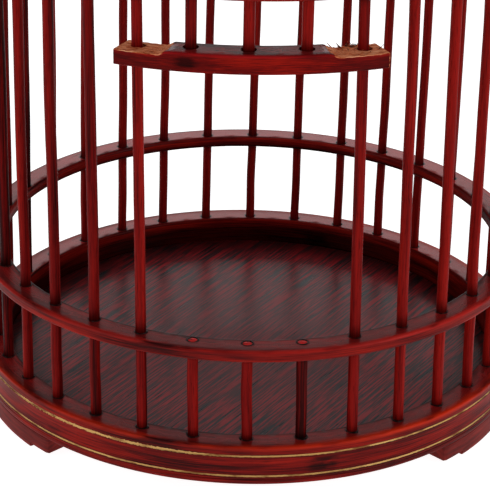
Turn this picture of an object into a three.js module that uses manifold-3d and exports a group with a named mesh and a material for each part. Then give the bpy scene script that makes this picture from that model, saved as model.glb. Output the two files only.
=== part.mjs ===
// A round lacquered bamboo bird cage on three low feet, with a lift-up door and a swivelling hook.
// Millimetres, +Z up. The origin is on the ground at the cage's axis, and the door faces -Y.
import * as THREE from "three";
import { mergeVertices } from "three/addons/utils/BufferGeometryUtils.js";
import Module from "manifold-3d";

// Bars
const barCircle = 145; // radius that the bars stand on
const barPlaces = 32; // even places round the circle, place 0 in the middle of the door
const doorReach = 1; // the door takes place 0 and this many places to each side of it
const barRadius = 2.8;
const barGap = 0.3; // between a bar and the wall of its hole
const barSocket = 9; // depth that a bar goes into the base hoop

// Hoops
const hoopInside = 5; // from the bar circle to a hoop's inner wall
const hoopOutside = 10; // from the bar circle to a hoop's outer wall
const hoopEdge = 1.6; // bevel round a hoop's outer edges
const footHeight = 12;
const baseHeight = 22.4;
const waistHeight = 55.8; // from the base hoop's top to the waist hoop's top
const doorwayHeight = 187.2; // from the waist hoop's top to the shoulder hoop
const hoopThickness = 6.5;

// Floor
const floorThickness = 5;
const ledgeWidth = 6; // of the step inside the base hoop that carries the floor
const ledgeThickness = 2.5;
const seatGap = 0.3; // between pieces that rest on each other

// Feet
const footCount = 3;
const footHalfAngle = 15.5;
const treadHalfAngle = 9.5; // the part of a foot that touches the ground
const toeLift = 2.2;
const footWidth = 14;
const footSetback = 0.9; // of the feet behind the base hoop's outer wall

// Door
const doorHeadroom = 27.1; // from the raised rail's top to the shoulder hoop
const railHeight = 9.4;
const railTail = 9.4; // that the rail goes on past the bars it slides on
const railInside = 6.5; // from the bar circle to the rail's inner wall
const railScoopDepth = 2.8; // by which the rail's two ends are whittled down
const railSocket = 6;
const doorBarTail = 16; // that stays above the shoulder hoop when the door is shut

// Dome
const domeRise = 78;
const domeStraight = 6; // that the bars go on upright above the shoulder hoop
const crownGrip = 12.8; // length of a bar's end that the crown holds
const crownLip = 2; // of the crown's plates past where the bars turn level
const crownPlateThickness = 5;
const crownRim = 6; // thickness of the cap at its rim
const crownCapRise = 7; // from the cap's rim up to its flat middle
const capNeck = 16; // radius of that flat middle
const crownBevel = 2;
const ribGap = 0.9; // between neighbouring bar ends in the crown
const hubGap = 2; // between the bar ends and the crown's hub

// Hook
const wireRadius = 2.5;
const hookRadius = 26;
const hookStem = 16; // from the collar to where the hook bows out
const hookNeck = 6.5; // height of the bow between the stem and the hook's eye
const hookStart = 215; // degrees round the eye, from the bow to the tip
const hookEnd = -35;
const collarRadius = 6.5;
const collarHeight = 8;
const nutRadius = 6;
const nutHeight = 5;
const nutTail = 2; // of the hook's wire below the nut

// Facets
const hoopFacets = 64;
const barFacets = 8;
const bendSteps = 6;
const crownFacets = 32;
const hookBowSteps = 5;
const hookRoundSteps = 15;
const overshoot = 1; // that a cutter reaches past the face it cuts

// Worked out from the sizes above
const placeAngle = 360 / barPlaces;
const hoopInner = barCircle - hoopInside;
const hoopOuter = barCircle + hoopOutside;
const holeRadius = (barRadius + barGap) / Math.cos(Math.PI / barFacets);
const baseTop = footHeight + baseHeight;
const floorBottom = footHeight + ledgeThickness + seatGap;
const floorTop = floorBottom + floorThickness;
const waistTop = baseTop + waistHeight;
const shoulderBottom = waistTop + doorwayHeight;
const shoulderTop = shoulderBottom + hoopThickness;
const barFoot = baseTop - barSocket + seatGap;
const railTop = shoulderBottom - doorHeadroom;
const railBottom = railTop - railHeight;
const doorRaised = railBottom - seatGap - waistTop;
const guideAngle = (doorReach + 1) * placeAngle;
const railHalfAngle = guideAngle + THREE.MathUtils.radToDeg(railTail / barCircle);
const railScoopAngle = (doorReach + 0.5) * placeAngle;
const doorBarTop = shoulderTop + doorBarTail + doorRaised;
const domeSpring = shoulderTop + domeStraight;
const crownMiddle = domeSpring + domeRise;
const ribEnd = (2 * barRadius + ribGap) / (2 * Math.sin(Math.PI / barPlaces));
const frontRibAngle = guideAngle / 3;
const crownRadius = ribEnd + crownGrip;
const ribBend = crownRadius - crownLip;
const hubRadius = ribEnd - hubGap;
const plateTop = crownMiddle - barRadius - seatGap;
const plateBottom = plateTop - crownPlateThickness;
const capBottom = crownMiddle + barRadius + seatGap;
const capTop = capBottom + crownRim + crownCapRise;
const collarBottom = capTop + seatGap;
const collarTop = collarBottom + collarHeight;
const nutTop = plateBottom - seatGap;
const wireHole = wireRadius + barGap;

const wasm = await Module();
wasm.setup();

const radians = THREE.MathUtils.degToRad;

// A closed geometry as a solid that can be joined and cut.
function solidOf(geometry) {
  const bare = geometry.clone();
  bare.deleteAttribute("normal");
  bare.deleteAttribute("uv");
  const merged = mergeVertices(bare, 1e-4);
  return new wasm.Manifold(
    new wasm.Mesh({
      numProp: 3,
      vertProperties: new Float32Array(merged.attributes.position.array),
      triVerts: new Uint32Array(merged.index.array),
    }),
  );
}

// A solid as a geometry again.
function geometryOf(solid) {
  const mesh = solid.getMesh();
  const geometry = new THREE.BufferGeometry();
  geometry.setAttribute("position", new THREE.BufferAttribute(mesh.vertProperties, 3));
  geometry.setIndex(new THREE.BufferAttribute(mesh.triVerts, 1));
  geometry.computeVertexNormals();
  return geometry;
}

// One geometry with every cutter taken out of it.
function cut(geometry, cutters) {
  const whole = solidOf(geometry);
  return geometryOf(cutters.reduce((rest, cutter) => rest.subtract(solidOf(cutter)), whole));
}

// A profile of [radius, height] points turned round the axis; it closes on its first point.
function turned(profile, facets) {
  const points = [...profile, profile[0]].map(([r, z]) => new THREE.Vector2(r, z));
  return new THREE.LatheGeometry(points, facets).rotateX(Math.PI / 2);
}

// An upright rod, its middle at the given place in the cage.
function uprightRod(radius, bottom, top, circle = 0, angle = 0, facets = barFacets) {
  const rod = new THREE.CylinderGeometry(radius, radius, top - bottom, facets).rotateX(Math.PI / 2);
  rod.translate(circle, 0, (bottom + top) / 2);
  return rod.rotateZ(radians(angle - 90));
}

// A block that follows the cage's curve between two radii and two angles.
function curvedBlock(inner, outer, halfAngle, bottom, top, facets) {
  const shape = new THREE.Shape();
  const start = radians(-90 - halfAngle);
  const end = radians(-90 + halfAngle);
  shape.absarc(0, 0, outer, start, end, false);
  shape.absarc(0, 0, inner, end, start, true);
  const settings = { depth: top - bottom, bevelEnabled: false, curveSegments: facets };
  return new THREE.ExtrudeGeometry(shape, settings).translate(0, 0, bottom);
}

const every = (count, make) => Array.from({ length: count }, (_, index) => make(index));

// Places run from 0 at the door to both sides: negative to the left, positive to the right.
const places = every(barPlaces, (index) => index - barPlaces / 2 + 1);
const isDoorPlace = (place) => Math.abs(place) <= doorReach;
const doorPlaces = places.filter(isDoorPlace);
const wallPlaces = places.filter((place) => !isDoorPlace(place));
const frontRibAngles = [-frontRibAngle, frontRibAngle];

// Cutters for a hole at every place in the list.
function barHoles(angles, bottom, top) {
  return angles.map((angle) => uprightRod(holeRadius, bottom, top, barCircle, angle));
}

const anglesOf = (list) => list.map((place) => place * placeAngle);

// A centre line in the XZ plane made of stretches with a number of steps each, so that a long
// straight stretch takes one step and a bend takes several.
class SteppedLine extends THREE.Curve {
  constructor(stretches) {
    super();
    this.stretches = stretches;
    this.steps = stretches.reduce((sum, stretch) => sum + stretch.steps, 0);
  }
  getPoint(t, target = new THREE.Vector3()) {
    let step = t * this.steps;
    for (const stretch of this.stretches) {
      if (step <= stretch.steps || stretch === this.stretches.at(-1)) {
        const [x, z] = stretch.at(step / stretch.steps);
        return target.set(x, 0, z);
      }
      step -= stretch.steps;
    }
  }
  getPointAt(u, target) {
    return this.getPoint(u, target);
  }
  getTangentAt(u, target) {
    return this.getTangent(u, target);
  }
}

// A bar's line: upright, then a quarter of an ellipse over the dome, then level into the crown.
function ribLine(foot) {
  const reach = barCircle - ribBend;
  const upright = (s) => [barCircle, THREE.MathUtils.lerp(foot, domeSpring, s)];
  const bend = (s) => {
    const turn = (s * Math.PI) / 2;
    return [ribBend + reach * Math.cos(turn), domeSpring + domeRise * Math.sin(turn)];
  };
  const level = (s) => [THREE.MathUtils.lerp(ribBend, ribEnd, s), crownMiddle];
  return new SteppedLine([
    { steps: 1, at: upright },
    { steps: bendSteps, at: bend },
    { steps: 1, at: level },
  ]);
}

// The hook's line: up the axis, out to one side, and round the eye to its open tip.
function hookLine() {
  const foot = nutTop - nutHeight - nutTail;
  const stemTop = collarTop + hookStem;
  const eye = stemTop + hookRadius + hookNeck;
  const round = (turn) => [hookRadius * Math.cos(turn), eye + hookRadius * Math.sin(turn)];
  const start = radians(hookStart);
  const [startX, startZ] = round(start);
  const ease = hookRadius / 4;
  const bow = new THREE.CubicBezierCurve(
    new THREE.Vector2(0, stemTop),
    new THREE.Vector2(0, stemTop + ease),
    new THREE.Vector2(startX - ease * Math.sin(start), startZ + ease * Math.cos(start)),
    new THREE.Vector2(startX, startZ),
  );
  return new SteppedLine([
    { steps: 1, at: (s) => [0, THREE.MathUtils.lerp(foot, stemTop, s)] },
    { steps: hookBowSteps, at: (s) => bow.getPoint(s).toArray() },
    { steps: hookRoundSteps, at: (s) => round(THREE.MathUtils.lerp(start, radians(hookEnd), s)) },
  ]);
}

// A round rod of the given radius along a centre line.
function rodAlong(line, radius) {
  const section = new THREE.Shape();
  section.setFromPoints(every(barFacets, (index) => {
    const turn = ((index + 0.5) / barFacets) * 2 * Math.PI;
    return new THREE.Vector2(radius * Math.cos(turn), radius * Math.sin(turn));
  }));
  const settings = { steps: line.steps, extrudePath: line, bevelEnabled: false };
  return new THREE.ExtrudeGeometry(section, settings);
}

function lacquer(color, roughness) {
  return new THREE.MeshStandardMaterial({ color, roughness, metalness: 0 });
}

const barLacquer = lacquer(0x7a1713, 0.38);
const hoopLacquer = lacquer(0x8a1c14, 0.32);
const doorLacquer = lacquer(0x931a12, 0.3);
const floorLacquer = lacquer(0x43191a, 0.28);
const footLacquer = lacquer(0x5e1c14, 0.4);
const crownLacquer = lacquer(0x7c1a14, 0.3);
const hookBrass = new THREE.MeshStandardMaterial({ color: 0xa8823c, roughness: 0.32, metalness: 1 });

const cage = new THREE.Group();
cage.name = "bird_cage";
const door = new THREE.Group();
door.name = "door";
const hookGroup = new THREE.Group();
hookGroup.name = "hook_group";
cage.add(door, hookGroup);

function addTo(group, name, geometry, material, angle = 0) {
  const mesh = new THREE.Mesh(geometry, material);
  mesh.name = name;
  mesh.rotation.z = radians(angle);
  group.add(mesh);
}

// The base hoop: bar sockets in its top, and a ledge inside that carries the floor.
function baseHoop() {
  const seat = floorBottom - seatGap;
  const profile = [
    [hoopInner - ledgeWidth, footHeight],
    [hoopOuter, footHeight],
    [hoopOuter, baseTop - hoopEdge],
    [hoopOuter - hoopEdge, baseTop],
    [hoopInner, baseTop],
    [hoopInner, seat],
    [hoopInner - ledgeWidth, seat],
  ];
  const sockets = barHoles(anglesOf(places), baseTop - barSocket, baseTop + overshoot);
  return cut(turned(profile, hoopFacets), sockets);
}

// A thin hoop with a hole through it at each angle.
function barHoop(bottom, angles) {
  const top = bottom + hoopThickness;
  const profile = [
    [hoopInner, bottom],
    [hoopOuter - hoopEdge, bottom],
    [hoopOuter, bottom + hoopEdge],
    [hoopOuter, top - hoopEdge],
    [hoopOuter - hoopEdge, top],
    [hoopInner, top],
  ];
  return cut(turned(profile, hoopFacets), barHoles(angles, bottom - overshoot, top + overshoot));
}

function floorPanel() {
  return uprightRod(hoopInner - seatGap, floorBottom, floorTop, 0, 0, hoopFacets);
}

// A foot: a curved block whose two ends stop short of the ground.
function footBlock() {
  const outer = hoopOuter - footSetback;
  const inner = outer - footWidth;
  const top = footHeight - seatGap;
  const body = curvedBlock(inner, outer, footHalfAngle, toeLift, top, 8);
  const tread = curvedBlock(inner, outer, treadHalfAngle, 0, top, 6);
  return geometryOf(solidOf(body).add(solidOf(tread)));
}

// The wedge that whittles one end of the door rail down.
function scoopCutter(side) {
  const run = barCircle * radians(railHalfAngle - railScoopAngle);
  const slope = Math.atan2(railScoopDepth, run);
  const block = new THREE.BoxGeometry(4 * run, 4 * hoopOutside, 4 * railScoopDepth);
  block.translate(2 * run * side, 0, 2 * railScoopDepth);
  block.rotateY(slope * side);
  block.translate(0, -barCircle, railTop);
  return block.rotateZ(radians(railScoopAngle * side));
}

// The door's rail: it slides on the two bars beside the doorway and carries the door's own bars.
function doorRail() {
  const inner = barCircle - railInside;
  const block = curvedBlock(inner, hoopOuter, railHalfAngle, railBottom, railTop, 16);
  const guideHoles = barHoles([-guideAngle, guideAngle], railBottom - overshoot, railTop + overshoot);
  const sockets = barHoles(anglesOf(doorPlaces), railTop - railSocket, railTop + overshoot);
  return cut(block, [...guideHoles, ...sockets, scoopCutter(-1), scoopCutter(1)]);
}

// The lower half of the crown: a plate under the bar ends with a hub between them.
function crownPlate() {
  const hubTop = capBottom - seatGap;
  return turned([
    [wireHole, plateBottom],
    [crownRadius - crownBevel, plateBottom],
    [crownRadius, plateBottom + crownBevel],
    [crownRadius, plateTop],
    [hubRadius, plateTop],
    [hubRadius, hubTop],
    [wireHole, hubTop],
  ], crownFacets);
}

// The turned cap that closes the crown from above.
function crownCap() {
  return turned([
    [wireHole, capBottom],
    [crownRadius, capBottom],
    [crownRadius, capBottom + crownRim - crownBevel],
    [crownRadius - crownBevel, capBottom + crownRim],
    [capNeck, capTop],
    [wireHole, capTop],
  ], crownFacets);
}

// A drum with the hook's wire through it.
function wireDrum(radius, bottom, top, facets) {
  const hole = wireHole / Math.cos(Math.PI / facets);
  return turned([
    [hole, bottom],
    [radius, bottom],
    [radius, top],
    [hole, top],
  ], facets);
}

const wholeBar = rodAlong(ribLine(barFoot), barRadius);
const frontRib = rodAlong(ribLine(shoulderBottom), barRadius);
const shortBar = uprightRod(barRadius, barFoot, waistTop, barCircle, 0);
const doorBar = uprightRod(barRadius, railTop - railSocket + seatGap, doorBarTop, barCircle, 0);

// The bars' centre lines are drawn along +X, and the door faces -Y.
for (const place of wallPlaces) {
  const side = place < 0 ? "left" : "right";
  const number = String(Math.abs(place)).padStart(2, "0");
  const name = place === barPlaces / 2 ? "bar_back" : `bar_${side}_${number}`;
  addTo(cage, name, wholeBar, barLacquer, place * placeAngle - 90);
}
for (const angle of frontRibAngles) {
  addTo(cage, angle < 0 ? "dome_rib_left" : "dome_rib_right", frontRib, barLacquer, angle - 90);
}
for (const place of doorPlaces) {
  const where = place === 0 ? "middle" : `${place < 0 ? "left" : "right"}_${Math.abs(place)}`;
  addTo(cage, `short_bar_${where}`, shortBar, barLacquer, place * placeAngle);
  addTo(door, `door_bar_${where}`, doorBar, barLacquer, place * placeAngle);
}
addTo(door, "door_rail", doorRail(), doorLacquer);

addTo(cage, "base_hoop", baseHoop(), hoopLacquer);
addTo(cage, "waist_hoop", barHoop(waistTop - hoopThickness, anglesOf(places)), hoopLacquer);
const shoulderAngles = [...anglesOf(places), ...frontRibAngles];
addTo(cage, "shoulder_hoop", barHoop(shoulderBottom, shoulderAngles), hoopLacquer);
addTo(cage, "floor_panel", floorPanel(), floorLacquer);

// One foot stands at the back and the others are spread evenly from it.
const foot = footBlock();
every(footCount, (index) => {
  const angle = 180 - (360 / footCount) * index;
  addTo(cage, `foot_${index + 1}`, foot, footLacquer, angle);
});

addTo(cage, "crown_plate", crownPlate(), crownLacquer);
addTo(cage, "crown_cap", crownCap(), crownLacquer);

addTo(hookGroup, "hook", rodAlong(hookLine(), wireRadius), hookBrass);
addTo(hookGroup, "hook_collar", wireDrum(collarRadius, collarBottom, collarTop, 16), hookBrass);
addTo(hookGroup, "hook_nut", wireDrum(nutRadius, nutTop - nutHeight, nutTop, 6), hookBrass);

export default cage;
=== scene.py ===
import math

import bpy
import numpy as np
from mathutils import Euler, Matrix, Vector


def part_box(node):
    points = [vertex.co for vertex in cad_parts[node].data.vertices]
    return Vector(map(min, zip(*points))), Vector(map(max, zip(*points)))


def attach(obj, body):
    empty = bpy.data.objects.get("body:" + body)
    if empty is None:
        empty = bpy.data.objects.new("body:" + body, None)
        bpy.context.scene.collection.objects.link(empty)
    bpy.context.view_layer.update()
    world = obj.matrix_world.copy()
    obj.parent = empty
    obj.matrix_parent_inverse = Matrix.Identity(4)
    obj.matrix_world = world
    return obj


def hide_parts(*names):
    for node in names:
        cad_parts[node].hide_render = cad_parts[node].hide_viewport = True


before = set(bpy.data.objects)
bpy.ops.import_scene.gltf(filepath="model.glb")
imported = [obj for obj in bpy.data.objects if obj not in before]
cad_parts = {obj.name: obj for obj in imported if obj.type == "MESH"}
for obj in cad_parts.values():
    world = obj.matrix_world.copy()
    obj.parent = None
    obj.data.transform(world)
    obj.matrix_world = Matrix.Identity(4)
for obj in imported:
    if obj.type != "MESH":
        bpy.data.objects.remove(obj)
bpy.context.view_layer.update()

mm = 0.001


# The low and the high corner of a CAD node's box.
def boxOf(node):
    low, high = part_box(node)
    return np.array(low), np.array(high)


baseLow, baseHigh = boxOf("base_hoop")
waistLow, waistHigh = boxOf("waist_hoop")
shoulderLow, shoulderHigh = boxOf("shoulder_hoop")
floorLow, floorHigh = boxOf("floor_panel")
railLow, railHigh = boxOf("door_rail")
shortLow, shortHigh = boxOf("short_bar_middle")
doorBarLow, doorBarHigh = boxOf("door_bar_middle")
backBarLow, backBarHigh = boxOf("bar_back")
plateLow, plateHigh = boxOf("crown_plate")
capLow, capHigh = boxOf("crown_cap")
hookLow, hookHigh = boxOf("hook")
collarLow, collarHigh = boxOf("hook_collar")
nutLow, nutHigh = boxOf("hook_nut")

cage = {
    "places": 32,
    "doorReach": 1,             # the doorway spans this many places on each side of the middle one
    "farPlaces": 10,            # bars past this place stand at the back
    "barRadius": (shortHigh[0] - shortLow[0]) / 2,
    "barCircle": -(shortLow[1] + shortHigh[1]) / 2,
    "hoopOuter": baseHigh[0] - 0.1 * mm,
    "hoopInner": floorHigh[0] + 0.3 * mm,
    "holeGap": 0.35 * mm,
    "handwork": 0.45 * mm,      # how far a bar wanders from a straight line
    "twist": 0.078,             # the upper hoops are turned on the base by this many radians a metre
}
placeAngle = 2 * math.pi / cage["places"]
guideAngle = (cage["doorReach"] + 1) * placeAngle
barRadius = cage["barRadius"]
barCircle = cage["barCircle"]
holeRadius = barRadius + cage["holeGap"]
placeNumbers = np.arange(cage["places"]) - cage["places"] // 2 + 1
doorPlaces = [p for p in placeNumbers if abs(p) <= cage["doorReach"]]
wallPlaces = [p for p in placeNumbers if abs(p) > cage["doorReach"]]
ribAngles = [-guideAngle / 3, guideAngle / 3]

view = {
    "side": -0.0199 * barCircle,
    "back": 8.196 * barCircle,
    "above": 4.049 * barCircle,       # over the base hoop's top
    "tilt": 24.473,
    "roll": 1.094,
    "sensor": 36.0,
    "lens": 167.07,
    "near": 0.05,
    "far": 60,
}


# The camera stands in front of the cage and above it. It is tilted down first, then rolled.
def makeCamera():
    data = bpy.data.cameras.new("camera")
    data.sensor_width = view["sensor"]
    data.lens = view["lens"]
    data.clip_start = view["near"]
    data.clip_end = view["far"]
    camera = bpy.data.objects.new("camera", data)
    camera.location = (view["side"], -view["back"], view["above"] + baseHigh[2])
    turn = Euler((math.radians(90 - view["tilt"]), 0, 0)).to_matrix()
    roll = Matrix.Rotation(math.radians(view["roll"]), 3, "Z")
    camera.rotation_euler = (turn @ roll).to_euler()
    bpy.context.scene.collection.objects.link(camera)
    bpy.context.scene.camera = camera


makeCamera()
print("camera set")


# Quads of a grid of points, (rows, columns, 3). The front side is row direction x column direction.
def sheetOf(points, flip=False, **marks):
    rows, columns = points.shape[:2]
    index = np.arange(rows * columns).reshape(rows, columns)
    corners = [index[:-1, :-1], index[1:, :-1], index[1:, 1:], index[:-1, 1:]]
    quads = np.stack(corners, -1).reshape(-1, 4)
    if flip:
        quads = quads[:, ::-1]
    flat = {}
    for name, value in marks.items():
        full = np.broadcast_to(value, (rows, columns) + np.shape(value)[2:])
        flat[name] = full.reshape((rows * columns,) + full.shape[2:])
    return {"points": points.reshape(-1, 3), "quads": quads, "marks": flat}


# All sheets in one list, with the same marks on each.
def joined(sheets):
    starts = np.cumsum([0] + [len(s["points"]) for s in sheets[:-1]])
    names = sheets[0]["marks"].keys()
    return {
        "points": np.concatenate([s["points"] for s in sheets]),
        "quads": np.concatenate([s["quads"] + start for s, start in zip(sheets, starts)]),
        "marks": {n: np.concatenate([s["marks"][n] for s in sheets]) for n in names},
    }


weldSize = 0.0001 * mm


# Points closer than the weld size become one, and a quad that loses a corner becomes a triangle.
def welded(surface):
    keys = np.round(surface["points"] / weldSize).astype(np.int64)
    _, first, inverse = np.unique(keys, axis=0, return_index=True, return_inverse=True)
    quads = inverse.reshape(-1)[surface["quads"]]
    same = quads == np.roll(quads, -1, axis=1)
    lost = same.sum(1)
    whole = quads[lost == 0]
    thin = quads[lost == 1]
    keep = np.argsort(same[lost == 1], axis=1, kind="stable")[:, :3]
    thin = np.take_along_axis(thin, np.sort(keep, axis=1), axis=1)
    marks = {name: value[first] for name, value in surface["marks"].items()}
    return surface["points"][first], whole, thin, marks


# The cage was put together a little twisted: turn = -twist * height over the base hoop, up to the
# shoulder hoop. The door hangs straight, so all of it has the shoulder hoop's turn.
def turnOf(height):
    return -cage["twist"] * np.clip(height - baseHigh[2], 0, shoulderHigh[2] - baseHigh[2])


# Each point turned round the axis by its own angle.
def twistedPoints(points, turn):
    x, y, z = points.T
    return np.stack([x * np.cos(turn) - y * np.sin(turn), y * np.cos(turn) + x * np.sin(turn), z], -1)


# One object from its sheets: smooth faces, with sharp edges over the given angle.
def makePiece(name, sheets, material, body, stands=(), sharp=38):
    points, quads, triangles, marks = welded(joined(sheets))
    if body == "cage":
        points = twistedPoints(points, turnOf(points[:, 2]))
    elif body == "door":
        points = twistedPoints(points, turnOf(shoulderHigh[2]))
    mesh = bpy.data.meshes.new(name)
    mesh.vertices.add(len(points))
    mesh.vertices.foreach_set("co", points.astype(np.float32).ravel())
    corners = np.concatenate([quads.ravel(), triangles.ravel()])
    sizes = np.concatenate([np.full(len(quads), 4), np.full(len(triangles), 3)])
    mesh.loops.add(len(corners))
    mesh.loops.foreach_set("vertex_index", corners.astype(np.int32))
    mesh.polygons.add(len(sizes))
    mesh.polygons.foreach_set("loop_start", (np.cumsum(sizes) - sizes).astype(np.int32))
    mesh.update(calc_edges=True)
    for mark, value in marks.items():
        isVector = value.ndim == 2
        layer = mesh.attributes.new(mark, "FLOAT_VECTOR" if isVector else "FLOAT", "POINT")
        layer.data.foreach_set("vector" if isVector else "value", value.astype(np.float32).ravel())
    mesh.validate()
    mesh.shade_smooth()
    mesh.set_sharp_from_angle(angle=math.radians(sharp))
    mesh.materials.append(material)
    piece = bpy.data.objects.new(name, mesh)
    bpy.context.scene.collection.objects.link(piece)
    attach(piece, body)
    if stands:
        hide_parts(*stands)
    return piece


# 0 below low, 1 above high, and 3t^2 - 2t^3 between them.
def ease(value, low, high):
    t = np.clip((value - low) / (high - low), 0, 1)
    return t * t * (3 - 2 * t)


# A point at a radius, an angle from the door towards +X, and a height.
def polar(radius, angle, height):
    radius, angle, height = np.broadcast_arrays(radius, angle, height)
    return np.stack([radius * np.sin(angle), -radius * np.cos(angle), height], -1)


# At an angle round the cage, the direction away from the axis and the direction along a hoop.
def directionsAt(angle):
    return polar(1, angle, 0), np.array([math.cos(angle), math.sin(angle), 0])


# Points at a distance from the axis, a distance to the side and a height, in the plane at an angle.
def carried(reach, side, height, angle):
    outward, sideways = directionsAt(angle)
    return reach[..., None] * outward + side[..., None] * sideways + height[..., None] * [0, 0, 1]


# Profile points on an arc, (radius from the axis, height), for angles in degrees.
def arcPoints(centreR, centreZ, radius, start, end, steps):
    turn = np.radians(np.linspace(start, end, steps))
    return list(zip(centreR + radius * np.cos(turn), centreZ + radius * np.sin(turn)))


# Sum of a few sine waves round a closed loop, between about -1 and 1.
def wobble(rng, angle, waves):
    counts = np.arange(1, waves + 1).reshape(-1, *([1] * np.ndim(angle)))
    phase = rng.uniform(0, 2 * math.pi, waves).reshape(counts.shape)
    size = rng.uniform(0.4, 1, waves).reshape(counts.shape) / np.sqrt(counts)
    return (size * np.sin(counts * angle + phase)).sum(0) / size.sum()


class Link:
    # A node's output that adds, takes away and multiplies as a number does.
    def __init__(self, finish, socket):
        self.finish = finish
        self.socket = socket

    def __add__(self, other):
        return self.finish.maths("ADD", self, other)

    def __radd__(self, other):
        return self.finish.maths("ADD", other, self)

    def __sub__(self, other):
        return self.finish.maths("SUBTRACT", self, other)

    def __rsub__(self, other):
        return self.finish.maths("SUBTRACT", other, self)

    def __mul__(self, other):
        return self.finish.maths("MULTIPLY", self, other)

    def __rmul__(self, other):
        return self.finish.maths("MULTIPLY", other, self)

    def __abs__(self):
        return self.finish.maths("ABSOLUTE", self)


class Finish:
    # A material that is built up from nodes.
    names = {"colour": "Base Color", "roughness": "Roughness", "metal": "Metallic", "normal": "Normal",
             "gloss": "Specular IOR Level", "coat": "Coat Weight", "coatRoughness": "Coat Roughness",
             "glow": "Emission Color", "glowStrength": "Emission Strength"}

    def __init__(self, name):
        self.material = bpy.data.materials.new(name)
        self.material.use_nodes = True
        self.tree = self.material.node_tree
        self.shader = self.tree.nodes["Principled BSDF"]

    # One node: its settings first, then the values or links of its sockets.
    def add(self, kind, settings, inputs, output=0):
        node = self.tree.nodes.new(kind)
        for key, value in settings.items():
            if key == "stops":
                ramp = node.color_ramp
                while len(ramp.elements) < len(value):
                    ramp.elements.new(1)
                for element, (place, colour) in zip(ramp.elements, value):
                    element.position = place
                    element.color = (*colour, 1)
            else:
                setattr(node, key, value)
        self.feed(node, inputs)
        return Link(self, node.outputs[output])

    def feed(self, node, inputs):
        for key, value in inputs.items():
            if isinstance(value, Link):
                self.tree.links.new(value.socket, node.inputs[key])
            elif isinstance(value, tuple) and node.inputs[key].type == "RGBA":
                node.inputs[key].default_value = (*value, 1)
            else:
                node.inputs[key].default_value = value

    def surface(self, **inputs):
        self.feed(self.shader, {self.names[key]: value for key, value in inputs.items()})
        return self.material

    def maths(self, operation, *terms):
        return self.add("ShaderNodeMath", {"operation": operation}, dict(enumerate(terms)))

    # A piece's own mark: output 2 is a number and output 1 is a vector.
    def mark(self, name, output=2):
        return self.add("ShaderNodeAttribute", {"attribute_name": name}, {}, output)

    def place(self):
        return self.add("ShaderNodeTexCoord", {}, {}, 3)

    def parts(self, vector):
        node = self.add("ShaderNodeSeparateXYZ", {}, {0: vector})
        return [Link(self, output) for output in node.socket.node.outputs]

    def vector(self, x, y, z):
        return self.add("ShaderNodeCombineXYZ", {}, {0: x, 1: y, 2: z})

    def length(self, x, y):
        return self.maths("SQRT", x * x + y * y)

    # Noise of the vector times the scales: a small scale draws the pattern out along that axis.
    def noise(self, vector, scales, detail=2.0, rough=0.5, warp=0.0):
        scaled = self.add("ShaderNodeVectorMath", {"operation": "MULTIPLY"}, {0: vector, 1: scales})
        sockets = {"Vector": scaled, "Scale": 1.0, "Detail": detail, "Roughness": rough, "Distortion": warp}
        return self.add("ShaderNodeTexNoise", {}, sockets)

    # 0 below low, 1 above high and a smooth step between them.
    def rise(self, value, low, high):
        return self.add("ShaderNodeMapRange", {"interpolation_type": "SMOOTHSTEP"},
                        {"Value": value, "From Min": low, "From Max": high})

    def mix(self, share, first, second):
        return self.add("ShaderNodeMix", {"data_type": "RGBA"}, {0: share, 6: first, 7: second}, 2)

    # The colour times the depth, by the share.
    def shaded(self, share, colour, depth):
        return self.add("ShaderNodeMix", {"data_type": "RGBA", "blend_type": "MULTIPLY"},
                        {0: share, 6: colour, 7: depth}, 2)

    def ramp(self, value, stops):
        return self.add("ShaderNodeValToRGB", {"stops": stops}, {0: value})

    def bump(self, height, strength, distance):
        sockets = {"Height": height, "Strength": strength, "Distance": distance}
        return self.add("ShaderNodeBump", {}, sockets)


barFinish = {
    "lacquer": [(0.36, (0.026, 0.0014, 0.0014)),
                (0.48, (0.135, 0.0028, 0.0025)),
                (0.68, (0.265, 0.0070, 0.0045))],
    "pores": (0.25, 0.20, 0.20),
    "shade": (0.16, 0.10, 0.10),
    "end": (0.560, 0.0090, 0.0080),
    "endCoat": 0.35,
    "coatRoughness": 0.10,
    "roughness": 0.32,
    "gloss": 0.03,
    "toneReach": 0.16,          # how much a bar's own tone moves its colour, from -1 to 1
    "tones": {-2: 0.3, -3: 0.0, -4: 0.0, -5: 0.2, 2: 0.2, 3: 0.7, 4: 0.9, 5: 0.8, 6: 0.4},
    "doorTones": {-1: 0.0, 0: 0.5, 1: 0.7},
    "shortTones": {-1: 0.2, 0: 0.1, 1: -0.8},
    "backTone": 0.5,
    "ribTone": 0.3,
}


# Red lacquer over bamboo: colour = ramp(fibre + broad grain + the bar's tone), darkened in pores and
# above each hoop, and brighter on a rubbed end.
def barLacquer():
    f = Finish("bar lacquer")
    grain = f.mark("grain", 1)
    fibre = f.noise(grain, (1400, 1400, 20), 3, 0.65)
    broad = f.noise(grain, (300, 300, 12))
    pores = f.noise(grain, (2600, 2600, 120))
    level = fibre * 0.45 + broad * 0.55 + f.mark("tone") * barFinish["toneReach"]
    colour = f.ramp(level, barFinish["lacquer"])
    colour = f.shaded(f.rise(pores, 0.56, 0.66) * 0.6, colour, barFinish["pores"])
    colour = f.shaded(f.mark("shade"), colour, barFinish["shade"])
    colour = f.mix(f.mark("end") * f.rise(broad, 0.30, 0.46), colour, barFinish["end"])
    rough = barFinish["roughness"] + fibre * 0.16
    normal = f.bump(fibre * 0.6 + broad * 0.4, 0.35, 0.0004)
    return f.surface(colour=colour, roughness=rough, gloss=barFinish["gloss"], normal=normal,
                     coat=f.mark("end") * barFinish["endCoat"], coatRoughness=barFinish["coatRoughness"])


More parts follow.
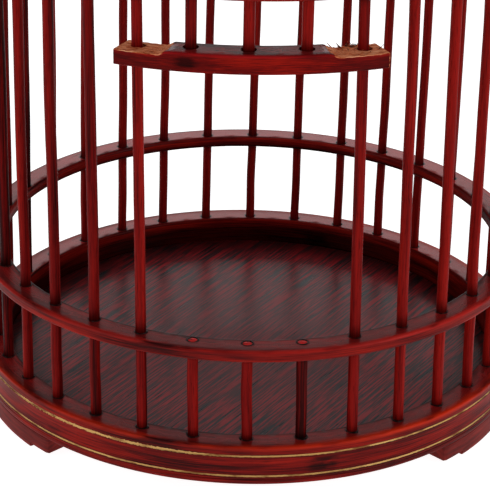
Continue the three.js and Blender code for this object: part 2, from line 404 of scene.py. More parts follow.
hoopFinish = {
    "lacquer": [(0.40, (0.028, 0.0022, 0.0021)),
                (0.49, (0.120, 0.0034, 0.0028)),
                (0.62, (0.280, 0.0090, 0.0040))],
    # the outer edge's colour is rubbed wear together with a painted highlight
    "rubbedHighlight": (0.520, 0.0230, 0.0050),
    "thinRubbedHighlight": (0.410, 0.0170, 0.0130),
    "top": (0.300, 0.0100, 0.0095),
    "topDark": (0.110, 0.0080, 0.0076),
    "backTopSheen": (0.520, 0.0400, 0.0420),
    "smudge": (0.18, 0.16, 0.18),
    "split": (0.06, 0.04, 0.04),
    "shade": (0.12, 0.07, 0.07),
    "sheenRun": (10 * mm, 120 * mm),       # how far back the flat top turns pale with a painted sheen
    "edgeHighlightRun": (10 * mm, 80 * mm),         # how far towards +X the edge's rubbing and painted highlight grow full
    "edgeHighlightShare": 0.56,                     # how strong they are before that
    "roughness": 0.34,
    "gloss": 0.03,
    "sideCoat": 0.05,
    "topCoat": 0.70,
    "coatRoughness": 0.18,
}


# Hoop lacquer: colour = ramp(streak + broad grain), both drawn out along the hoop. The flat top is
# darker with a few thin splits, and a painted sheen makes it paler to the back; the outer edge is
# rubbed and carries a painted highlight, more so towards +X; gilt lines lie at the given heights.
def hoopLacquer(name, rubbedHighlight, lines=()):
    f = Finish(name)
    grain = f.mark("grain", 1)
    streak = f.noise(grain, (34, 34, 1700), 4, 0.66)
    broad = f.noise(grain, (14, 14, 190), 3, 0.55)
    smudge = f.noise(grain, (30, 30, 90), 3, 0.6)
    level = streak * 0.5 + broad * 0.5
    colour = f.ramp(level, hoopFinish["lacquer"])
    flat = f.mark("flat")
    sideways, backward, _ = f.parts(grain)
    topColour = f.mix(f.rise(level, 0.42, 0.60), hoopFinish["topDark"], hoopFinish["top"])
    # Painted sheen: the flat top's colour turns pale pink towards the back, in place of the reflected haze
    # there.
    topColour = f.mix(f.rise(backward, *hoopFinish["sheenRun"]) * 0.85, topColour, hoopFinish["backTopSheen"])
    colour = f.mix(flat * 0.9, colour, topColour)
    # Rubbed wear on the outer edge, with a painted highlight that is fuller towards +X.
    sides = f.rise(sideways, *hoopFinish["edgeHighlightRun"]) * (1 - hoopFinish["edgeHighlightShare"]) + hoopFinish["edgeHighlightShare"]
    worn = f.mark("edge") * f.rise(broad * 0.4 + smudge * 0.6, 0.36, 0.54) * sides
    colour = f.mix(worn, colour, rubbedHighlight)
    colour = f.shaded(f.rise(smudge, 0.60, 0.76) * (1 - flat) * 0.7, colour, hoopFinish["smudge"])
    crack = f.noise(grain, (9, 9, 420), 1, 0.4)
    split = (1 - f.rise(abs(crack - 0.5), 0.004, 0.016)) * flat * f.rise(broad, 0.43, 0.50)
    colour = f.shaded(split * 0.9, colour, hoopFinish["split"])
    colour = f.shaded(f.mark("shade"), colour, hoopFinish["shade"])
    rough = hoopFinish["roughness"] + streak * 0.12
    metal = 0.0
    if lines:
        colour, gilt = giltLines(f, colour, grain, smudge, lines)
        metal = gilt * giltFinish["metal"]
        rough = rough + gilt * 0.12
    normal = f.bump(streak * 0.5 + broad * 0.5 - split, 0.30, 0.0005)
    return f.surface(colour=colour, roughness=rough, gloss=hoopFinish["gloss"], normal=normal, metal=metal,
                     coat=hoopFinish["sideCoat"] + flat * hoopFinish["topCoat"],
                     coatRoughness=hoopFinish["coatRoughness"])


giltFinish = {
    "gilt": (0.620, 0.3700, 0.1300),
    "thin": (0.220, 0.0850, 0.0240),
    "grooveShade": (0.20, 0.12, 0.12),
    "soot": (0.14, 0.14, 0.16),
    "sootPlace": 41 * mm,
    "sootRun": (1 * mm, 8 * mm),
    "band": (3.0 * mm, 5.2 * mm),         # soot stays this near to the middle between the lines
    "metal": 0.55,
    "from": 150 * mm,                     # gilt lies only outside this radius
    "half": (0.38 * mm, 0.58 * mm),
    "grooveShadeHalf": (0.6 * mm, 1.4 * mm),
    "drift": 0.6 * mm,
    "ragged": (0.6 * mm, 0.5 * mm),
    "flaking": 1.2 * mm,                  # the upper line is more ragged and wider towards -X
    "spread": 0.22 * mm,
    "flakeRun": (0, 50 * mm),
}


# Gilt = 1 where the height is nearer to a line than half the line's width, with a ragged border. A
# dark band of painted shade lies round it in the groove, and the band between the two lines has one
# sooty patch.
def giltLines(f, colour, grain, smudge, lines):
    x, y, height = f.parts(f.place())
    ragged = f.noise(grain, (700, 700, 1500), 2, 0.6)
    patchy = f.noise(grain, (60, 60, 260), 3, 0.6)
    drift = f.noise(grain, (16, 16, 16))
    between = 1 - f.rise(abs(height - sum(lines) / 2), *giltFinish["band"])
    reach = abs(x - giltFinish["sootPlace"]) + (smudge - 0.5) * 0.030
    soot = (1 - f.rise(reach, *giltFinish["sootRun"])) * f.rise(patchy, 0.34, 0.54) * between
    colour = f.shaded(soot * 0.85, colour, giltFinish["soot"])
    left = f.rise(x * -1, *giltFinish["flakeRun"])
    upperRagged = giltFinish["ragged"][0] + left * giltFinish["flaking"]
    near = [abs(height - line + (drift - 0.5) * giltFinish["drift"]) + (ragged - 0.5) * share
            for line, share in zip(lines, (upperRagged, giltFinish["ragged"][1]))]
    nearest = f.maths("MINIMUM", near[0] - left * giltFinish["spread"], near[1])
    outside = f.maths("GREATER_THAN", f.length(x, y), giltFinish["from"])
    gilt = (1 - f.rise(nearest, *giltFinish["half"])) * outside
    # Painted shade in the groove round each gilt line.
    grooveShade = (1 - f.rise(nearest, *giltFinish["grooveShadeHalf"])) * outside
    colour = f.shaded(grooveShade * 0.55, colour, giltFinish["grooveShade"])
    giltColour = f.mix(f.rise(patchy, 0.36, 0.54), giltFinish["thin"], giltFinish["gilt"])
    return f.mix(gilt, colour, giltColour), gilt


floorFinish = {
    "streakTurn": 59,
    "lacquer": [(0.420, (0.0135, 0.0200, 0.0230)),
                (0.485, (0.0720, 0.0120, 0.0145)),
                (0.570, (0.2900, 0.0120, 0.0180))],
    "worn": (0.095, 0.0135, 0.0165),
    "wornRun": (30 * mm, 110 * mm),
    # painted shade towards the rim, under the hoop
    "rim": (0.30, 0.28, 0.28),
    "rimShadeRun": (112 * mm, 136 * mm),
    "dust": (0.20, 0.12, 0.11),
    "roughness": 0.24,
    "gloss": 0.28,
}


# Floor lacquer: fine red streaks across a near-black board, all one way, short and broken. It is
# worn even in the middle, darker at the rim with painted shade, and has a few specks of dust.
def floorLacquer():
    f = Finish("floor lacquer")
    x, y, _ = f.parts(f.place())
    turn = math.radians(floorFinish["streakTurn"])
    along = x * math.cos(turn) + y * math.sin(turn)
    across = y * math.cos(turn) - x * math.sin(turn)
    fine = f.noise(f.vector(across, along, 0.0), (980, 29, 1), 1, 0.4, 0.06)
    broad = f.noise(f.vector(across, along, 3.0), (90, 14, 1))
    thread = f.noise(f.vector(across, along, 7.0), (1700, 105, 1))
    dust = f.noise(f.vector(across, along, 1.0), (300, 300, 1))
    colour = f.ramp(fine * 0.62 + broad * 0.06 + thread * 0.32, floorFinish["lacquer"])
    radius = f.length(x, y)
    colour = f.mix((1 - f.rise(radius, *floorFinish["wornRun"])) * 0.35, colour, floorFinish["worn"])
    # Painted shade: the board darkens towards its rim, where the hoop's wall stands over it.
    colour = f.shaded(f.rise(radius, *floorFinish["rimShadeRun"]), colour, floorFinish["rim"])
    colour = f.mix(f.rise(dust, 0.74, 0.80) * 0.5, colour, floorFinish["dust"])
    return f.surface(colour=colour, roughness=floorFinish["roughness"] + fine * 0.12,
                     gloss=floorFinish["gloss"], normal=f.bump(fine, 0.16, 0.0004))


doorFinish = {
    "lacquer": [(0.36, (0.036, 0.0018, 0.0018)),
                (0.49, (0.110, 0.0024, 0.0021)),
                (0.62, (0.270, 0.0066, 0.0028))],
    "rounded": (0.360, 0.0090, 0.0110),
    "top": (0.300, 0.0160, 0.0160),
    "topDark": (0.030, 0.0060, 0.0060),
    "soot": (0.16, 0.15, 0.20),
    "sootPlace": -33.5 * mm,
    "sootRun": (0.5 * mm, 6.0 * mm),
    "sootTop": (1.2 * mm, 3.0 * mm),      # soot starts this far down the face
    "sootFoot": (6.5 * mm, 8.5 * mm),     # and ends this far down
    "shade": (0.12, 0.07, 0.07),
    "wood": [(0.40, (0.260, 0.0340, 0.0110)),
             (0.49, (0.740, 0.1850, 0.0680)),
             (0.60, (0.930, 0.4600, 0.2500))],
    "roughness": 0.34,
    "gloss": 0.03,
    "topCoat": 0.75,
    "coatRoughness": 0.22,
}


# Door rail: colour = ramp(streak + broad grain) with one sooty patch on the face, a darker flat top
# and a rounded rubbed edge. Where the raw mark is 1 it is bare fibrous wood.
def doorLacquer():
    f = Finish("door lacquer")
    grain = f.mark("grain", 1)
    streak = f.noise(grain, (90, 90, 2100), 4, 0.70)
    broad = f.noise(grain, (22, 22, 160), 3)
    smudge = f.noise(grain, (24, 24, 60))
    level = streak * 0.55 + broad * 0.45
    flat = f.mark("flat")
    topColour = f.mix(f.rise(level, 0.42, 0.60), doorFinish["topDark"], doorFinish["top"])
    colour = f.mix(flat * 0.9, f.ramp(level, doorFinish["lacquer"]), topColour)
    worn = f.mark("edge") * (0.35 + f.rise(broad, 0.35, 0.65) * 0.5)
    colour = f.mix(worn, colour, doorFinish["rounded"])
    x = f.parts(f.place())[0]
    downFace = f.parts(grain)[2]
    belly = f.rise(downFace, *doorFinish["sootTop"]) * (1 - f.rise(downFace, *doorFinish["sootFoot"]))
    reach = abs(x - doorFinish["sootPlace"]) + (broad - 0.5) * 0.020
    soot = 1 - f.rise(reach, *doorFinish["sootRun"])
    soot = soot * f.rise(streak * 0.4 + smudge * 0.6, 0.36, 0.52) * belly
    colour = f.shaded(soot * 0.85, colour, doorFinish["soot"])
    colour = f.shaded(f.mark("shade"), colour, doorFinish["shade"])
    fibre = f.noise(grain, (120, 120, 900), 4, 0.8)
    ragged = f.noise(grain, (240, 240, 700), 3, 0.6)
    raw = f.rise(f.mark("raw") + (ragged - 0.5) * 0.7, 0.42, 0.56)
    colour = f.mix(raw, colour, f.ramp(fibre, doorFinish["wood"]))
    rough = doorFinish["roughness"] + streak * 0.12 + raw * 0.42
    normal = f.bump(f.add("ShaderNodeMix", {}, {0: raw, 2: streak * 0.25, 3: fibre}), 0.55, 0.0006)
    return f.surface(colour=colour, roughness=rough, gloss=doorFinish["gloss"], normal=normal,
                     coat=flat * (1 - raw) * doorFinish["topCoat"],
                     coatRoughness=doorFinish["coatRoughness"])


footFinish = {
    "lacquer": [(0.30, (0.040, 0.0070, 0.0066)),
                (0.50, (0.150, 0.0150, 0.0130)),
                (0.74, (0.290, 0.0270, 0.0200))],
    "rubbedHighlight": (0.290, 0.0270, 0.0200),
    "roughness": 0.40,
    "gloss": 0.03,
}


# Foot lacquer: colour = ramp(streak + broad grain), a little brighter on the worn corner.
def footLacquer():
    f = Finish("foot lacquer")
    grain = f.mark("grain", 1)
    streak = f.noise(grain, (30, 30, 700), 4, 0.6)
    broad = f.noise(grain, (40, 40, 120), 3)
    level = streak * 0.5 + broad * 0.5
    worn = f.mark("edge") * f.rise(broad, 0.4, 0.6) * 0.6
    colour = f.mix(worn, f.ramp(level, footFinish["lacquer"]), footFinish["rubbedHighlight"])
    return f.surface(colour=colour, roughness=footFinish["roughness"] + streak * 0.14,
                     gloss=footFinish["gloss"], normal=f.bump(level, 0.3, 0.0005))


crownFinish = {
    "lacquer": [(0.30, (0.022, 0.0020, 0.0020)),
                (0.50, (0.125, 0.0042, 0.0036)),
                (0.75, (0.280, 0.0110, 0.0060))],
    "roughness": 0.30,
    "gloss": 0.08,
}


# Crown lacquer: the turned wood's straight grain shows through, with rubbed rims.
def crownLacquer():
    f = Finish("crown lacquer")
    place = f.place()
    figure = f.noise(place, (420, 34, 420), 4, 0.6, 0.3)
    broad = f.noise(place, (60, 18, 60))
    colour = f.ramp(figure * 0.6 + broad * 0.4, crownFinish["lacquer"])
    colour = f.mix(f.mark("edge") * f.rise(broad, 0.35, 0.6), colour, hoopFinish["rubbedHighlight"])
    return f.surface(colour=colour, roughness=crownFinish["roughness"] + figure * 0.12,
                     gloss=crownFinish["gloss"], normal=f.bump(figure, 0.25, 0.0004))


brassFinish = {
    "bright": (0.640, 0.4300, 0.1700),
    "tarnish": (0.230, 0.1300, 0.0550),
    "roughness": 0.24,
}


# Brass that has dulled in patches, with fine drawing marks.
def hookBrass():
    f = Finish("hook brass")
    place = f.place()
    patch = f.noise(place, (90, 90, 90), 4, 0.65)
    marks = f.noise(place, (900, 900, 160))
    colour = f.mix(f.rise(patch, 0.42, 0.68), brassFinish["bright"], brassFinish["tarnish"])
    rough = brassFinish["roughness"] + patch * 0.22 + marks * 0.06
    return f.surface(colour=colour, roughness=rough, metal=1.0, normal=f.bump(marks, 0.12, 0.0002))


poolFinish = {
    "lacquer": [(0.44, (0.003, 0.001, 0.001)),
                (0.60, (0.012, 0.002, 0.002)),
                (0.72, (0.100, 0.005, 0.004))],
    "roughness": 0.30,
    "gloss": 0.12,
}


# Lacquer that pooled and dried almost black round a bar's foot, blotched with red. Its near-black
# also stands for painted shade round the foot.
def poolAndShadeLacquer():
    f = Finish("pooled lacquer")
    blotch = f.noise(f.place(), (700, 700, 700), 3, 0.6)
    return f.surface(colour=f.ramp(blotch, poolFinish["lacquer"]), gloss=poolFinish["gloss"],
                     roughness=poolFinish["roughness"] + blotch * 0.2, normal=f.bump(blotch, 0.3, 0.0003))


splinterFinish = {
    "dark": (0.020, 0.006, 0.004),
    "wood": (0.740, 0.185, 0.068),
    "roughness": 0.70,
    "gloss": 0.25,
}


# Splinters are flecked, from sooty to bare wood.
def splinterWood():
    f = Finish("splinter wood")
    fleck = f.noise(f.place(), (500, 500, 1500), 3, 0.6)
    colour = f.mix(f.rise(fleck, 0.46, 0.60), splinterFinish["dark"], splinterFinish["wood"])
    return f.surface(colour=colour, roughness=splinterFinish["roughness"] + fleck * 0.15,
                     gloss=splinterFinish["gloss"])


bars = barLacquer()
giltHeights = [baseHigh[2] - 5.5 * mm, baseHigh[2] - 17.3 * mm]
baseLacquer = hoopLacquer("base lacquer", hoopFinish["rubbedHighlight"], giltHeights)
ringLacquer = hoopLacquer("hoop lacquer", hoopFinish["thinRubbedHighlight"])
floorBoard = floorLacquer()
doorRed = doorLacquer()
footRed = footLacquer()
crownRed = crownLacquer()
brass = hookBrass()
poolsAndShade = poolAndShadeLacquer()
splinters = splinterWood()
print("finishes made")


grid = {"radialSteps": 4, "holeRings": 5, "ringCrowding": 1.5, "wallSteps": 14, "bevelSteps": 5}


# One sector of a flat face with a hole in it: s runs from the hole's edge (0) to the sector's border
# (1), and j goes round the border. P = hole(j) + s * (border(j) - hole(j)). A hole is long times as
# wide along the hoop as across it.
def holedSector(across, inner, outer, holeAngle, radius, long):
    side, end = len(across) - 1, grid["radialSteps"]
    inward = np.linspace(outer, inner, end + 1)
    first, last = np.full(end + 1, across[0]), np.full(end, across[-1])
    angle = np.concatenate([across[:-1], last, across[:0:-1], first])
    reach = np.concatenate([np.full(side, outer), inward[:-1], np.full(side, inner), inward[::-1]])
    border = polar(reach, angle, 0)
    centre = polar(barCircle, holeAngle, 0)
    outward, sideways = directionsAt(holeAngle)
    turn = np.arctan2((border - centre) @ sideways, (border - centre) @ outward)
    hole = centre + radius * (np.cos(turn)[:, None] * outward + long * np.sin(turn)[:, None] * sideways)
    s = (np.linspace(0, 1, grid["holeRings"] + 1) ** grid["ringCrowding"])[:, None, None]
    return hole + s * (border - hole), hole


# A sector's top face and its hole's wall. A hole with a depth is blind and has a flat floor over a
# plain underside, and one without goes through to a holed underside.
def sectorSheets(spec, across, angle, radius, depth, long):
    top, bottom = spec["top"], spec["bottom"]
    inner, outer = spec["inner"] + spec["bevel"], spec["outer"] - spec["bevel"]
    face, rim = holedSector(across, inner, outer, angle, radius, long)
    low = bottom if depth is None else top - depth
    wall = rim[None] * [1, 1, 0] + np.array([top, low])[:, None, None] * [0, 0, 1]
    sheets = [sheetOf(face + [0, 0, top]), sheetOf(wall, True)]
    if depth is None:
        sheets.append(sheetOf(face + [0, 0, bottom], True))
    else:
        floorRows = np.stack([rim, np.broadcast_to(polar(barCircle, angle, 0), rim.shape)]) + [0, 0, low]
        underside = polar(np.array([[outer], [inner]]), across[None], bottom)
        sheets += [sheetOf(floorRows, True), sheetOf(underside)]
    return sheets


# A block round the cage from the first to the last of its borders' angles, with a hole in each
# sector. Its section is a rectangle with rounded corners, whose outer and inner walls may be given
# as (radius, height) points: the outer one runs down and the inner one up.
def holedBlock(spec):
    top, bottom, bevel = spec["top"], spec["bottom"], spec["bevel"]
    borders, steps = spec["borders"], grid["bevelSteps"]
    inner, outer = spec["inner"] + bevel, spec["outer"] - bevel
    sheets = []
    columns = []
    for start, end, hole in zip(borders[:-1], borders[1:], spec["holes"]):
        across = np.linspace(start, end, spec["steps"] + 1)
        sheets += sectorSheets(spec, across, *hole)
        columns.append(across[1:] if columns else across)
    angles = np.concatenate(columns)
    between = np.linspace(top - bevel, bottom + bevel, grid["wallSteps"])[1:-1]
    outerSide = spec.get("outerWall", [(spec["outer"], z) for z in between])
    innerSide = spec.get("innerWall", [(spec["inner"], z) for z in between[::-1]])
    outerWall = np.array(arcPoints(outer, top - bevel, bevel, 90, 0, steps) + outerSide
                         + arcPoints(outer, bottom + bevel, bevel, 0, -90, steps))
    innerWall = np.array(arcPoints(inner, bottom + bevel, bevel, -90, -180, steps) + innerSide
                         + arcPoints(inner, top - bevel, bevel, 180, 90, steps))
    for wall in (outerWall, innerWall):
        sheets.append(sheetOf(polar(wall[:, :1], angles[None], wall[:, 1:])))
    if not spec["closed"]:
        loop = np.concatenate([outerWall, innerWall, outerWall[:1]])
        middle = np.array([[(inner + outer) / 2, (top + bottom) / 2]])
        rows = np.stack([np.broadcast_to(middle, loop.shape), loop])
        for angle, flip in ((angles[0], True), (angles[-1], False)):
            sheets.append(sheetOf(polar(rows[..., 0], angle, rows[..., 1]), flip))
    return joined(sheets)


# Painted shade on the hoops and the rail: along the inner edge at the front, low on the inner wall, more to
# the back and to -X, and round each hole's rim. The last entry splits the grain.
paintedShadeAndGrain = {
    "innerEdge": 0.85,                    # how dark the painted shade on the inner edge gets at the front
    "backEdge": 0.2,                      # the share of that which is left at the back
    "innerWall": 0.96,                    # how dark the painted shade on the inner wall gets, low down
    "frontWall": 0.45,                    # the share of that at the front
    "rim": (-0.05 * mm, 0.9 * mm),        # how far past a hole's rim its shade fades
    "innerReach": 1.4 * mm,               # how far past the bevel the inner edge's shade fades
    "frontRun": (-40 * mm, 30 * mm),      # along y, from the front's shade to the back's
    "backRun": (60 * mm, 130 * mm),       # along y, where the inner wall gets dark
    "leftRun": (70 * mm, 125 * mm),       # and along -x
    "splitGrain": 0.05,                   # keeps the grain of the inner and the outer half apart
}


# Marks that the finishes read. The grain is (x, y, distance across the hoop), flat is 1 on the top
# face, edge is 1 on the rounded outer edge, and shade is 1 in a hole and close to its rim, and less
# on the inner edge and low down on the inner wall.
def markBlock(block, spec):
    x, y, z = block["points"].T
    radius = np.hypot(x, y)
    top, bevel, inner, outer = spec["top"], spec["bevel"], spec["inner"], spec["outer"]
    across = np.where(z > top - 0.01 * mm, radius - outer, top - z)
    across = np.where(radius < (inner + outer) / 2, across + paintedShadeAndGrain["splitGrain"], across)
    edge = ease(radius, outer - spec["edgeBandWidth"], outer - 0.6 * bevel)
    edge = edge * ease(z, top - spec["edgeBandDepth"], top - bevel * 0.5)
    flat = ease(z, top - bevel * 0.6, top - bevel * 0.1) * (1 - edge)
    centres = polar(barCircle, np.array([hole[0] for hole in spec["holes"]]), 0)[:, :2]
    nearest = np.sqrt(((block["points"][:, None, :2] - centres[None]) ** 2).sum(-1)).min(1)
    shade = 1 - ease(nearest - holeRadius, *paintedShadeAndGrain["rim"])
    innerEdge = 1 - ease(radius, inner + 1.02 * bevel, inner + bevel + paintedShadeAndGrain["innerReach"])
    frontness = 1 - (1 - paintedShadeAndGrain["backEdge"]) * ease(y, *paintedShadeAndGrain["frontRun"])
    edgeShade = paintedShadeAndGrain["innerEdge"] * innerEdge * frontness * ease(z, top - 2 * mm, top - 0.6 * mm)
    low = 1 - ease(z, top - spec["deepShade"], top - 2 * mm)
    behind = np.maximum(ease(y, *paintedShadeAndGrain["backRun"]), ease(-x, *paintedShadeAndGrain["leftRun"]))
    backness = paintedShadeAndGrain["frontWall"] + (1 - paintedShadeAndGrain["frontWall"]) * behind
    wallShade = paintedShadeAndGrain["innerWall"] * low * backness * (radius < inner + 0.2 * mm)
    shade = np.maximum(np.maximum(shade, edgeShade), wallShade)
    grain = np.stack([x, y, across], -1)
    block["marks"] = {"grain": grain, "flat": flat * (1 - innerEdge), "edge": edge, "shade": shade}


# Borders half way between neighbouring holes, all the way round.
def evenBorders(angles):
    middle = (angles[:-1] + angles[1:]) / 2
    wrap = (angles[0] + angles[-1] - 2 * math.pi) / 2
    return np.concatenate([[wrap], middle, [wrap + 2 * math.pi]])


baseHoop = {
    "top": baseHigh[2], "bottom": baseLow[2], "inner": cage["hoopInner"], "outer": cage["hoopOuter"],
    "closed": True, "steps": 10, "bevel": 1.1 * mm, "socket": 9 * mm,
    "edgeBandDepth": 3.0 * mm, "edgeBandWidth": 5.5 * mm, "deepShade": 8.5 * mm,
    "grooveDepth": 0.45 * mm, "grooveHalf": 0.75 * mm,
    "belly": 0.35 * mm, "bellyWaves": 300, "bellyRun": 2 * mm, "wallRows": 90, "lipRows": 12,
    "ledge": 6 * mm, "seatGap": 0.3 * mm,
    "footGroove": 3.1 * mm, "footGrooveDepth": 0.25 * mm, "footGrooveHalf": 0.45 * mm,
}


# The base hoop's outer wall: a plain lip, two gilt grooves with a slightly hollow band between them,
# and a foot moulding with one fine groove. Each groove's depth eases off from its middle.
def baseWall():
    spec = baseHoop
    edge = spec["bevel"] * 1.2
    height = np.linspace(spec["top"] - edge, spec["bottom"] + edge, spec["wallRows"])
    depth = np.zeros_like(height)
    for line in giltHeights:
        depth += spec["grooveDepth"] * (1 - ease(abs(height - line), 0, spec["grooveHalf"]))
    upper, lower = giltHeights
    run = spec["bellyRun"]
    band = ease(height, lower, lower + run) * (1 - ease(height, upper - run, upper))
    wave = np.cos((height - height.mean()) * spec["bellyWaves"]) ** 2
    depth += spec["belly"] * band * (0.4 + 0.6 * wave)
    fine = abs(height - spec["bottom"] - spec["footGroove"])
    depth += spec["footGrooveDepth"] * (1 - ease(fine, 0, spec["footGrooveHalf"]))
    return list(zip(spec["outer"] - depth, height))


# The base hoop: a block with blind sockets, and a ledge under the floor board on its inner wall.
def makeBaseHoop():
    angles = placeNumbers * placeAngle
    seat = floorLow[2] - baseHoop["seatGap"]
    step = baseHoop["inner"] - baseHoop["ledge"]
    lip = np.linspace(seat, baseHoop["top"] - baseHoop["bevel"], baseHoop["lipRows"])[:-1]
    spec = dict(baseHoop, borders=evenBorders(angles), outerWall=baseWall())
    spec["holes"] = [(a, holeRadius, spec["socket"], 1.0) for a in angles]
    spec["innerWall"] = [(step, spec["bottom"]), (step, seat)] + [(spec["inner"], z) for z in lip]
    block = holedBlock(spec)
    markBlock(block, spec)
    makePiece("base_hoop_lacquered", [block], baseLacquer, "cage", ["base_hoop"])


thinHoop = {
    "inner": cage["hoopInner"], "outer": cage["hoopOuter"], "closed": True, "steps": 10,
    "bevel": 1.5 * mm, "edgeBandDepth": 2.0 * mm, "edgeBandWidth": 3.6 * mm, "deepShade": 6 * mm,
}


# A thin hoop: a block with a hole right through it at each angle.
def makeThinHoop(node, low, high, angles):
    spec = dict(thinHoop, top=high[2], bottom=low[2], borders=evenBorders(angles))
    spec["holes"] = [(a, holeRadius, None, 1.0) for a in angles]
    block = holedBlock(spec)
    markBlock(block, spec)
    makePiece(node + "_lacquered", [block], ringLacquer, "cage", [node])


makeBaseHoop()
makeThinHoop("waist_hoop", waistLow, waistHigh, placeNumbers * placeAngle)
shoulderAngles = np.sort(np.concatenate([placeNumbers * placeAngle, ribAngles]))
makeThinHoop("shoulder_hoop", shoulderLow, shoulderHigh, shoulderAngles)
print("hoops made")


floor = {"bevel": 0.8 * mm, "rings": 30, "columns": 128, "inset": 0.1 * mm,
         "warp": 0.12 * mm, "waves": (31, 27)}


# The floor board: a disc with a softened rim and a faint warp, as a sine of x times a cosine of y.
def makeFloor():
    radius = floorHigh[0] - floor["inset"]
    bevel = floor["bevel"]
    profile = [(r, floorHigh[2]) for r in np.linspace(0, radius - bevel, floor["rings"])]
    profile += arcPoints(radius - bevel, floorHigh[2] - bevel, bevel, 90, 0, grid["bevelSteps"])[1:]
    profile += [(radius, floorLow[2]), (0, floorLow[2])]
    profile = np.array(profile)
    angles = np.linspace(-math.pi, math.pi, floor["columns"] + 1)
    points = polar(profile[:, :1], angles[None], profile[:, 1:])
    x, y, z = np.moveaxis(points, -1, 0)
    across, along = floor["waves"]
    warp = floor["warp"] * (np.sin(x * across + 1.3) * np.cos(y * along) - 1)
    points[..., 2] = z + warp * (z > floorHigh[2] - 2 * mm)
    makePiece("floor_board", [sheetOf(points)], floorBoard, "cage", ["floor_panel"])


makeFloor()
print("floor made")


barShape = {
    "fullness": 1.045, "backFullness": 0.96, "around": 20,
    "uprightSteps": 40, "bendSteps": 22, "domeStraight": 6 * mm, "crownLip": 2 * mm,
    "sidewaysLength": 0.32, "inOutLength": 0.40, "breathLength": 0.12,
    "breath": 0.020, "oval": 0.012, "lobes": 0.008,
    "strayRun": (3 * mm, 30 * mm), "grainShift": 5,
    "footShade": 0.85, "footReach": (0.6 * mm, 5.0 * mm), "shadeBelow": 9 * mm,
}
hoopTops = np.array([baseHigh[2], waistHigh[2], shoulderHigh[2]])


# A bar's centre line in its own plane, as (distance from the axis, height): upright, a quarter of an
# ellipse, then level into the crown.
def ribLine(foot):
    spring = shoulderHigh[2] + barShape["domeStraight"]
    end = backBarLow[1]
    bend = capHigh[0] - barShape["crownLip"]
    middle = backBarHigh[2] - barRadius
    upright = np.linspace(foot, spring, barShape["uprightSteps"], endpoint=False)
    turn = np.linspace(0, math.pi / 2, barShape["bendSteps"])
    curve = bend + (barCircle - bend) * np.cos(turn)
    reach = np.concatenate([np.full(len(upright), barCircle), curve, [end]])
    height = np.concatenate([upright, spring + (middle - spring) * np.sin(turn), [middle]])
    return np.stack([reach, height], -1)


# An upright line that ends in a rounded tip: the radius falls as cos(turn) ** power while the line
# rises as height * sin(turn). Gives the line and the share of the radius at each of its points.
def tippedLine(foot, end, tip):
    top = end - tip["below"]
    turn = np.linspace(tip["start"], 1, tip["tipSteps"]) * math.pi / 2
    height = np.concatenate([np.linspace(foot, top, tip["steps"]), top + tip["height"] * np.sin(turn)])
    share = np.concatenate([np.ones(tip["steps"]), np.maximum(np.cos(turn) ** tip["power"], 0.02)])
    return np.stack([np.full(len(height), barCircle), height], -1), share


# How far a bar strays at a height: nothing where it passes a hoop, most half way between.
def strayWindow(height):
    window = np.ones_like(height)
    for stop in hoopTops:
        window *= ease(abs(height - stop), *barShape["strayRun"])
    return window * (height < shoulderHigh[2])


# A rod swept along a centre line, hand-shaved: its radius breathes with the angle and the distance.
# P = line + r(phi, s) * (cos(phi) * normal + sin(phi) * side). The first and the last ring shrink to
# a point, which closes the ends.
def rodSheet(line, angle, seed, shares=1.0, stray=1.0, tone=None, fullness=barShape["fullness"]):
    own = np.random.default_rng(seed)
    step = np.diff(line, axis=0)
    along = np.concatenate([[0], np.cumsum(np.hypot(*step.T))])
    tangent = np.gradient(line, along, axis=0)
    tangent /= np.linalg.norm(tangent, axis=1)[:, None]
    normal = np.stack([tangent[:, 1], -tangent[:, 0]], -1)
    window = strayWindow(line[:, 1]) * stray * cage["handwork"]
    distance = along * 2 * math.pi
    sideways = window * wobble(own, distance / barShape["sidewaysLength"], 4)
    inOut = window * wobble(own, distance / barShape["inOutLength"], 3)
    phi = np.linspace(0, 2 * math.pi, barShape["around"] + 1)
    breath = barShape["breath"]
    breathe = 1 - breath + breath * wobble(own, distance / barShape["breathLength"], 5)[:, None]
    breathe = breathe * (1 + barShape["oval"] * np.cos(2 * phi + own.uniform(0, 6))
                         + barShape["lobes"] * np.cos(3 * phi + own.uniform(0, 6)))
    radius = barRadius * fullness * breathe * np.reshape(shares, (-1, 1))
    reach = line[:, :1] + inOut[:, None] + radius * np.cos(phi) * normal[:, :1]
    height = line[:, 1:] + radius * np.cos(phi) * normal[:, 1:]
    side = sideways[:, None] + radius * np.sin(phi)
    points = carried(reach, side, height, angle)
    caps = [np.broadcast_to(ring.mean(0), points[:1].shape) for ring in (points[0], points[-1])]
    points = np.concatenate([caps[0], points, caps[1]])
    shift = own.uniform(-barShape["grainShift"], barShape["grainShift"], 3)
    ring = np.broadcast_to(phi, points.shape[:2])
    distance = np.pad(along, 1, "edge")[:, None]
    grain = np.stack([barRadius * np.cos(ring) + shift[0], barRadius * np.sin(ring) + shift[1],
                      np.broadcast_to(distance + shift[2], ring.shape)], -1)
    tone = own.uniform(-1, 1) if tone is None else tone
    over = np.pad(line[:, 1], 1, "edge")[:, None, None] - hoopTops
    shade = (1 - ease(over, *barShape["footReach"])) * (over > -barShape["shadeBelow"])
    return sheetOf(points, True, grain=grain, tone=np.full(ring.shape, tone), end=np.zeros(ring.shape),
                   shade=barShape["footShade"] * np.broadcast_to(shade.max(-1), ring.shape))


# The name of the piece at a place: left, right or middle, and how far from the middle.
def nameAt(kind, place, digits=1):
    side = "left" if place < 0 else "right"
    return f"{kind}_middle" if place == 0 else f"{kind}_{side}_{abs(place):0{digits}d}"


# One bar, short bar or door bar, in place of the CAD node of that name.
def makeCane(name, sheet, body="cage"):
    makePiece(name + "_cane", [sheet], bars, body, [name])


